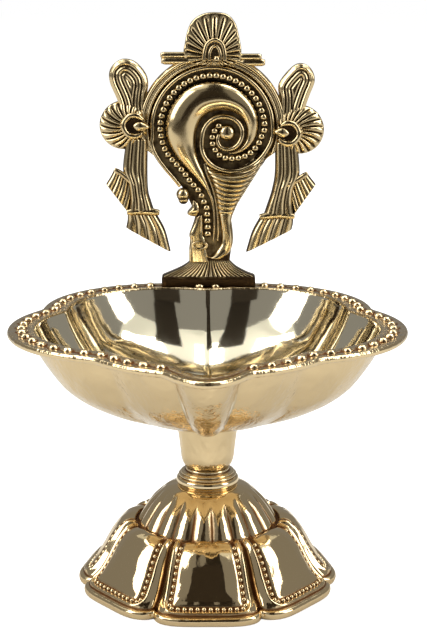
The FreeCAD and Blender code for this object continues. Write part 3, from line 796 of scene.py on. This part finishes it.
def plinth_block():
    """Plinth with rounded upper edges: rings of a rectangle, drawn in towards the top."""
    inset = np.array([0.15, 0.0, 0.0, 0.12, 0.45])[:, None]
    z = np.array([0.0, 0.15, 2.2, 2.6, 2.8])[:, None] + plinth_low
    t = np.linspace(0, 1, 12)
    flat = np.ones(12)
    x = np.r_[-13.4 + 27.4 * t, 14.0 * flat, 14.0 - 27.4 * t, -13.4 * flat][None, :]
    y = np.r_[plinth_front * flat, plinth_front + (PLATE_HIGH[1] - plinth_front) * t, PLATE_HIGH[1] * flat,
              PLATE_HIGH[1] - (PLATE_HIGH[1] - plinth_front) * t][None, :]
    x = np.clip(x, -13.4 + inset, 14.0 - inset)
    y = np.clip(y, plinth_front + inset, PLATE_HIGH[1])
    # A worn value of 0.2 leaves the plinth dark all over: patina, and painted shade for the shadow it stands
    # in.
    return capped(x, y, z, 0.2)


casting("conch_foot", [
    thorn, pilaster, cup_hole, fan, plinth_block(), ridge(cup, 0.42, 1.75, rows=50, even=False),
    ridge([(-13.2, 75.5), (0.3, 75.5), (13.8, 75.5)], 0.35, 1.75, rows=12, worn=0.3),
    beads(ball_centre, 1.95, sides=24, rings=14), beads([(-7.0, PLATE_FACE - 1.0, 98.6)], 1.5, sides=20,
                                                        rings=10),
], plate_brass, "bowl", "plate_brass")

# Crest: a shell with flutes that fan out from a double arch over one bead, between short bars.
crest_outline = [(-6.8, 140.6), (-6.5, 143.0), (-5.7, 146.6), (-4.3, 149.4), (-1.4, 151.3), (2.0, 151.8),
                 (5.6, 151.2),
                 (7.9, 148.8), (8.9, 145.4), (9.6, 141.4), (9.2, 138.4), (6.5, 137.2), (2.0, 137.0),
                 (-2.8, 137.2),
                 (-5.9, 138.2)]


def crest_shape(out, round_, x, z):
    """Dome with flutes that bend over a broad smooth edge."""
    bearing = np.arctan2(z - 139.6, x - 2.1)
    flute = np.abs(np.sin(13.5 * bearing + 0.8 * out))
    live = ease(0.3, 0.42, out) * ease(0.99, 0.86, out)
    dome = 1.1 + 1.0 * np.sqrt(np.clip(1.01 - out**4, 0, 1))
    return dome - 0.75 * live * (1 - flute**0.7), 1 - 1.15 * live * (1 - flute**0.6)


def bar(left, right, height, radius):
    """Short round bar across the plate, with blunt ends."""
    return ridge([(left, height), (0.5 * (left + right), height), (right, height)],
                 [radius * 0.7] + [radius] * 8 + [radius * 0.7], 0.6, rows=24)


casting("plate_crest", [
    coin((2.1, 139.6), crest_outline, crest_shape, rows=44, columns=300, back=0.12),
    ridge([(-1.0, 138.4), (-0.9, 140.6), (-0.1, 143.2), (2.1, 144.3), (4.1, 143.2), (4.9, 140.6),
           (4.9, 138.4)],
          0.55, 2.1, rows=50),
    ridge([(0.5, 138.4), (0.6, 140.6), (1.2, 142.0), (2.2, 142.6), (3.1, 141.9), (3.6, 140.4), (3.6, 138.4)],
          0.45, 2.1, rows=50),
    beads([(2.6, PLATE_FACE - 2.2, 138.9)], 0.95, sides=16, rings=10),
    bar(-13.4, -5.6, 139.9, 0.9), bar(-13.2, -4.6, 138.3, 1.1), bar(9.0, 15.4, 139.4, 0.95),
    bar(9.4, 16.4, 137.8, 1.05),
], plate_brass, "bowl", "plate_brass")

# Each side: a round fluted blossom with a teardrop eye, a ribbon folded in nested loops above
# it, and a pleated tassel below it with a small cuff, a large cuff and a slanting tip.
left_side = {
    "blossom": (-24.1, 119.9), "eye": (-21.2, 120.0), "tip": (-16.5, 119.6),
    "ribbon": [(-24.0, 120.0), (-25.6, 126.6), (-27.9, 132.4), (-27.6, 136.2), (-24.5, 138.6), (-20.9, 138.0),
               (-17.9, 134.9), (-17.0, 131.6), (-17.6, 126.8), (-17.8, 120.0)],
    "ribbon_base": (-21.5, 129.0),
    "drop": ([(-23.4, 116.0), (-24.4, 107.2), (-22.9, 103.0), (-22.4, 98.5), (-22.9, 94.8)],
             [(-17.2, 116.0), (-17.4, 106.4), (-17.2, 100.7), (-16.4, 97.6), (-15.5, 94.8)]),
    "side": ([(-26.9, 107.2), (-28.0, 105.0), (-29.3, 102.9)], [(-21.4, 103.2), (-22.0, 99.0),
                                                                (-23.0, 94.6)]),
    "small_cuff": [(-26.9, 107.3), (-24.0, 105.4), (-21.0, 102.6)],
    "cuff": [(-23.4, 94.8), (-18.6, 95.0), (-13.9, 94.7)],
    "end": ([(-23.2, 94.0), (-23.3, 92.2), (-23.7, 90.2)], [(-14.9, 94.0), (-12.4, 89.2), (-10.8, 83.0)]),
}
right_side = {
    "blossom": (26.6, 118.6), "eye": (23.3, 117.8), "tip": (19.0, 118.4),
    "ribbon": [(21.0, 119.0), (20.6, 127.2), (20.5, 131.8), (24.3, 136.5), (27.2, 137.4), (29.7, 135.8),
               (30.6, 132.6), (29.2, 128.6), (28.0, 125.0), (26.5, 119.0)],
    "ribbon_base": (25.0, 128.0),
    "drop": ([(19.5, 115.0), (19.5, 106.0), (18.7, 101.0), (17.6, 97.4), (16.4, 93.8)],
             [(25.9, 115.0), (26.6, 106.0), (25.0, 101.6), (24.6, 97.5), (25.2, 93.8)]),
    "side": ([(23.0, 102.4), (24.0, 98.4), (25.1, 94.0)], [(28.8, 106.0), (30.0, 104.4), (31.3, 102.8)]),
    "small_cuff": [(22.7, 102.4), (25.9, 104.2), (28.9, 106.2)],
    "cuff": [(15.1, 93.4), (20.2, 93.9), (25.3, 93.6)],
    "end": ([(15.2, 92.8), (13.0, 88.6), (11.3, 82.9)], [(24.9, 92.8), (24.9, 91.4), (24.5, 89.6)]),
}


def ribbon_shape(out, round_, x, z):
    """Nested loops, each a round fold with a dark line beside it, at even steps from the edge."""
    away = np.hypot(x[..., None] - x[-1], z[..., None] - z[-1]).min(-1)
    fold = np.abs(np.sin(math.pi * away / 1.75))
    rise = 0.7 + 0.9 * np.minimum(away, 1) + 0.7 * (fold**0.7 - 1) * (away > 0.8)
    return rise, 0.05 + 1.1 * fold**0.8 + (away < 0.8)


def side_ornament(name, at):
    """Blossom, ribbon and tassel of one side."""
    centre, eye, tip = (np.array(at[key]) for key in ("blossom", "eye", "tip"))
    way = (tip - eye) / np.linalg.norm(tip - eye)
    over = np.array([-way[1], way[0]])
    hook = [eye + a * way + b * over for a, b in
            ((2.6, 1.9), (1.0, 2.9), (-1.2, 2.7), (-2.7, 0.9), (-2.7, -0.9), (-1.2, -2.7), (1.0, -2.9),
             (2.6, -1.9))]
    well = [eye + a * way + b * over for a, b in ((-2.2, 0), (-0.6, 1.9), (1.6, 1.8), (3.6, 0.6),
                                                  (3.6, -0.6), (1.6, -1.8), (-0.6, -1.9))]
    drop = [eye + a * way + b * over for a, b in
            ((-0.3, 0), (0.8, 1.2), (2.4, 1.35), (np.dot(tip - eye, way), 0), (2.4, -1.35), (0.8, -1.2))]
    casting(name + "_blossom", [
        coin(eye, circle(centre, 6.9, 40), fluted(19, 0.34, 2.6, 0.8, twist=1.6), rows=40, columns=300,
             back=0.16),
        coin(eye + 0.4 * way, well, lambda out, round_, x, z: (2.6 + 0.3 * out**2, 0.2 * out), rows=12,
             columns=48,
             back=SUNK),
        coin(eye + 2.0 * way, drop, lambda out, round_, x, z: (2.6 + 1.2 * np.sqrt(np.clip(1 - out**2, 0,
                                                                                           1)), 1.0),
             rows=12, columns=48, back=SUNK),
        ridge(hook, [0.4] + [0.8] * 8 + [0.4], 2.6, rows=60, even=False),
        coin(at["ribbon_base"], at["ribbon"], ribbon_shape, rows=48, columns=120, back=0.24),
    ], plate_brass, "bowl", "plate_brass")
    casting(name + "_tassel", [
        strip(*at["drop"], pleats(3, 0.7, 0.5, 1.1), rows=60, columns=80, back=0.32),
        strip(*at["side"], pleats(4, 0.6, 0.3, 0.5), rows=30, columns=90, back=0.4),
        strip(*at["end"], pleats(4, 0.6, 0.3, 0.8), rows=40, columns=90, back=0.4),
        ridge(at["small_cuff"], [0.55] + [0.8] * 6 + [0.55], 1.2, rows=24),
        ridge(at["cuff"], [0.8] + [1.05] * 6 + [0.8], 1.1, rows=30),
    ], plate_brass, "bowl", "plate_brass")


side_ornament("left", left_side)
side_ornament("right", right_side)

# ---------------------------------------------------------------- fasteners
# Zinc-plated steel: the stud in the bowl's neck with its washer and nut under the dome, and
# the two pan-head screws that come up through the rear rim into the plate's plinth.
zinc = bpy.data.materials.new("zinc_plate")
zinc.use_nodes = True
zinc_shader = zinc.node_tree.nodes["Principled BSDF"]
zinc_shader.inputs["Metallic"].default_value = 1.0
zinc_grain = zinc.node_tree.nodes.new("ShaderNodeTexNoise")
zinc_grain.inputs["Scale"].default_value = 700
zinc_grain.inputs["Detail"].default_value = 5
zinc_place = zinc.node_tree.nodes.new("ShaderNodeTexCoord")
zinc.node_tree.links.new(zinc_place.outputs["Object"], zinc_grain.inputs["Vector"])
zinc_tone = zinc.node_tree.nodes.new("ShaderNodeMix")
zinc_tone.data_type = "RGBA"
zinc_tone.inputs[6].default_value = (0.42, 0.43, 0.42, 1)
zinc_tone.inputs[7].default_value = (0.66, 0.66, 0.64, 1)
zinc.node_tree.links.new(zinc_grain.outputs["Fac"], zinc_tone.inputs["Factor"])
zinc.node_tree.links.new(zinc_tone.outputs[2], zinc_shader.inputs["Base Color"])
zinc_dull = zinc.node_tree.nodes.new("ShaderNodeMapRange")
zinc_dull.inputs["To Min"].default_value = 0.25
zinc_dull.inputs["To Max"].default_value = 0.5
zinc.node_tree.links.new(zinc_grain.outputs["Fac"], zinc_dull.inputs["Value"])
zinc.node_tree.links.new(zinc_dull.outputs[0], zinc_shader.inputs["Roughness"])
for node in ("bowl_stud", "stud_washer", "stud_nut", "plate_screws"):
    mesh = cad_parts[node].data
    mesh.materials.clear()
    mesh.materials.append(zinc)

# ---------------------------------------------------------------- studio
# A pale floor, soft lights, and sheets of white and dark that only the polished brass shows.
# The camera stands in front, a little above the rim, and looks down at it.
CAMERA_BACK = 435.7
CAMERA_UP = 175.7
CAMERA_DOWN_TILT = 0.231
LENS = 94.3
CAMERA_SHIFT = 0.009375        # as a share of the sensor
scene = bpy.context.scene


def paint(name, colour, roughness):
    """Plain material for the studio, and the shader inside it."""
    made = bpy.data.materials.new(name)
    made.use_nodes = True
    shader = made.node_tree.nodes["Principled BSDF"]
    shader.inputs["Base Color"].default_value = (*colour, 1)
    shader.inputs["Roughness"].default_value = roughness
    return made, shader


def flat_sheet(name, corners, material, seen=False):
    """Four-cornered sheet in metres. One that isn't seen shows only in the brass."""
    mesh = bpy.data.meshes.new(name)
    mesh.from_pydata(corners, [], [(0, 1, 2, 3)])
    mesh.materials.append(material)
    sheet = bpy.data.objects.new(name, mesh)
    sheet.visible_camera = sheet.visible_shadow = sheet.visible_diffuse = seen
    scene.collection.objects.link(sheet)


floor_paint, floor_shader = paint("floor_paint", (0.74, 0.74, 0.73), 0.9)
floor_shader.inputs["Emission Color"].default_value = (1, 1, 1, 1)
floor_seen = floor_paint.node_tree.nodes.new("ShaderNodeLightPath")
floor_glow = floor_paint.node_tree.nodes.new("ShaderNodeMath")
floor_glow.operation = "MULTIPLY"
floor_glow.inputs[1].default_value = 0.80
floor_paint.node_tree.links.new(floor_seen.outputs["Is Camera Ray"], floor_glow.inputs[0])
floor_paint.node_tree.links.new(floor_glow.outputs[0], floor_shader.inputs["Emission Strength"])
flat_sheet("floor", [(-3, -3, 0), (3, -3, 0), (3, 3, 0), (-3, 3, 0)], floor_paint, seen=True)

scene.view_settings.view_transform = "Standard"
world = bpy.data.worlds.new("studio")
scene.world = world
world.use_nodes = True
world_nodes, world_link = world.node_tree.nodes, world.node_tree.links.new
room = world_nodes["Background"]
room.inputs["Color"].default_value = (1.0, 0.99, 0.97, 1)
room.inputs["Strength"].default_value = 0.26
backdrop = world_nodes.new("ShaderNodeBackground")
backdrop.inputs["Color"].default_value = (1, 1, 1, 1)
backdrop.inputs["Strength"].default_value = 1.0
seen = world_nodes.new("ShaderNodeLightPath")
either = world_nodes.new("ShaderNodeMixShader")
world_link(seen.outputs["Is Camera Ray"], either.inputs["Fac"])
world_link(room.outputs[0], either.inputs[1])
world_link(backdrop.outputs[0], either.inputs[2])
world_link(either.outputs[0], world_nodes["World Output"].inputs["Surface"])


def soft_light(name, place, target, size, power):
    """Square soft box at a place in metres, aimed at a target."""
    lamp = bpy.data.lights.new(name, "AREA")
    lamp.shape = "RECTANGLE"
    lamp.size, lamp.size_y = size
    lamp.energy = power
    box = bpy.data.objects.new(name, lamp)
    box.location = place
    box.rotation_euler = (Vector(target) - Vector(place)).to_track_quat("-Z", "Y").to_euler()
    scene.collection.objects.link(box)


soft_light("window_left", (-0.70, -0.30, 0.55), (0, 0, 0.09), (0.45, 0.80), 4.5)
soft_light("window_right", (0.75, -0.25, 0.45), (0, 0, 0.08), (0.30, 0.70), 3)
soft_light("ceiling", (0.34, 0.10, 0.92), (0, 0, 0.08), (0.34, 0.60), 4)
soft_light("skylight", (-0.36, 0.12, 0.92), (0, 0, 0.08), (0.30, 0.60), 3.2)

ceiling_paint, ceiling_shader = paint("ceiling_paint", (0.8, 0.8, 0.8), 0.5)
ceiling_shader.inputs["Emission Color"].default_value = (0.96, 1.0, 0.94, 1)
ceiling_shader.inputs["Emission Strength"].default_value = 0.42
flat_sheet("white_ceiling", [(-0.9, -0.5, 1.0), (-0.9, 0.9, 1.0), (0.9, 0.9, 1.0), (0.9, -0.5, 1.0)],
           ceiling_paint)

dark_cloth = paint("dark_cloth", (0.03, 0.022, 0.015), 1.0)[0]
for name, corners in (
    ("cloth_floor", [(-0.8, -1.6, 0.001), (0.8, -1.6, 0.001), (0.7, -0.28, 0.001), (-0.7, -0.28, 0.001)]),
    ("cloth_front", [(-0.22, -1.0, 0.0), (0.30, -1.0, 0.0), (0.30, -0.8, 0.8), (-0.22, -0.8, 0.8)]),
    ("cloth_above", [(-0.10, -0.8, 0.8), (0.30, -0.8, 0.8), (0.22, 0.0, 0.9), (-0.05, 0.0, 0.9)]),
):
    flat_sheet(name, corners, dark_cloth)

camera = bpy.data.cameras.new("camera")
camera.lens = LENS
camera.sensor_width = 36.0
camera.shift_x = CAMERA_SHIFT
camera.clip_start = 0.01
camera_object = bpy.data.objects.new("camera", camera)
camera_object.location = (0, -CAMERA_BACK * MM, CAMERA_UP * MM)
camera_object.rotation_euler = (0.5 * math.pi - CAMERA_DOWN_TILT, 0, 0)
scene.collection.objects.link(camera_object)
scene.camera = camera_object
